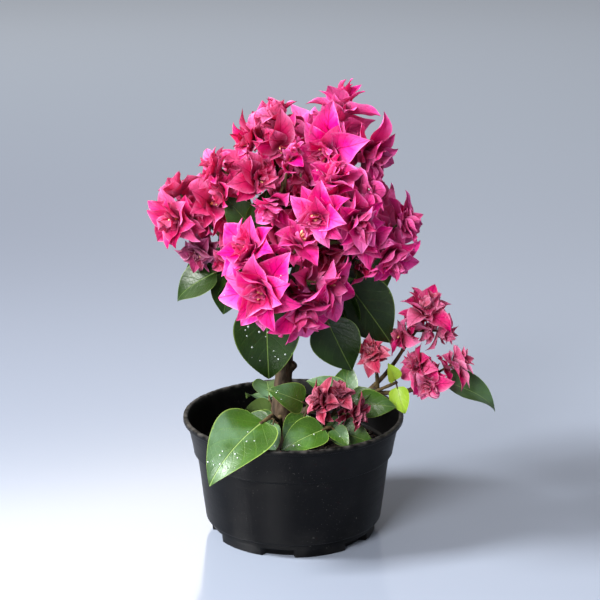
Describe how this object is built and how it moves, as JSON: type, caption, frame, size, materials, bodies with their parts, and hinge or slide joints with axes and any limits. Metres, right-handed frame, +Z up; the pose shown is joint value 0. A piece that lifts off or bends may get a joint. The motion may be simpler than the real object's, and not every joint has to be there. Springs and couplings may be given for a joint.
{
  "type": "potted bougainvillea bush",
  "caption": "Young bougainvillea bush with double pink blossom and glossy leaves, growing in a shallow round black nursery pot.",
  "frame": {"origin": "centre of the pot's flat underside", "axes": "+Z up, the way the plant grows; -Y towards the plant's front, where the large low leaf hangs over the rim; +X to the side where the low branch reaches out"},
  "size_m": [0.2433, 0.195, 0.3115],
  "materials": {
    "black_plastic": "satin black moulded plastic, dusty and a little scuffed",
    "potting_soil": "dark crumbly potting soil",
    "bark": "rough grey-brown bark",
    "green_bark": "thin brown-green bark",
    "pink_bracts": "papery magenta bracts, redder in their cups",
    "glossy_leaves": "waxy dark green leaves with pale midribs",
    "young_leaves": "thin yellow-green leaves"
  },
  "bodies": {
    "root": {"pot": "black_plastic", "soil": "potting_soil", "trunk": "bark", "bough_leader": "bark", "bough_top_left": "green_bark", "bough_top_back": "green_bark", "bough_heart": "green_bark", "bough_middle": "green_bark", "bough_left": "bark", "bough_left_upper": "green_bark", "bough_left_low": "green_bark", "bough_front": "bark", "bough_right": "bark", "bough_back": "bark", "bough_back_left": "green_bark", "bough_back_right": "green_bark", "bough_low_right": "bark", "bough_low_right_upper": "green_bark", "bough_low_right_outer": "green_bark", "bough_low_front": "green_bark", "bough_low_left": "green_bark", "bough_low_back": "green_bark", "blossom_top": "pink_bracts", "blossom_top_left": "pink_bracts", "blossom_top_back": "pink_bracts", "blossom_heart": "pink_bracts", "blossom_middle": "pink_bracts", "blossom_left_upper": "pink_bracts", "blossom_left": "pink_bracts", "blossom_left_low": "pink_bracts", "blossom_front": "pink_bracts", "blossom_right": "pink_bracts", "blossom_back": "pink_bracts", "blossom_back_left": "pink_bracts", "blossom_back_right": "pink_bracts", "blossom_low_right_upper": "pink_bracts", "blossom_low_right_outer": "pink_bracts", "blossom_low_right_inner": "pink_bracts", "blossom_low_front": "pink_bracts", "leaves_front": "glossy_leaves", "leaves_left": "glossy_leaves", "leaves_inner": "glossy_leaves", "leaves_middle": "glossy_leaves", "leaves_right": "glossy_leaves", "leaves_right_inner": "glossy_leaves", "leaves_back": "glossy_leaves", "leaves_back_left": "glossy_leaves", "leaves_back_right": "glossy_leaves", "leaves_low_right": "glossy_leaves", "leaves_low_right_outer": "glossy_leaves", "leaves_young": "young_leaves", "leaves_low_front": "glossy_leaves", "leaves_low_middle": "glossy_leaves", "leaves_low_left": "glossy_leaves", "leaves_low_back": "glossy_leaves"}
  },
  "joints": []
}
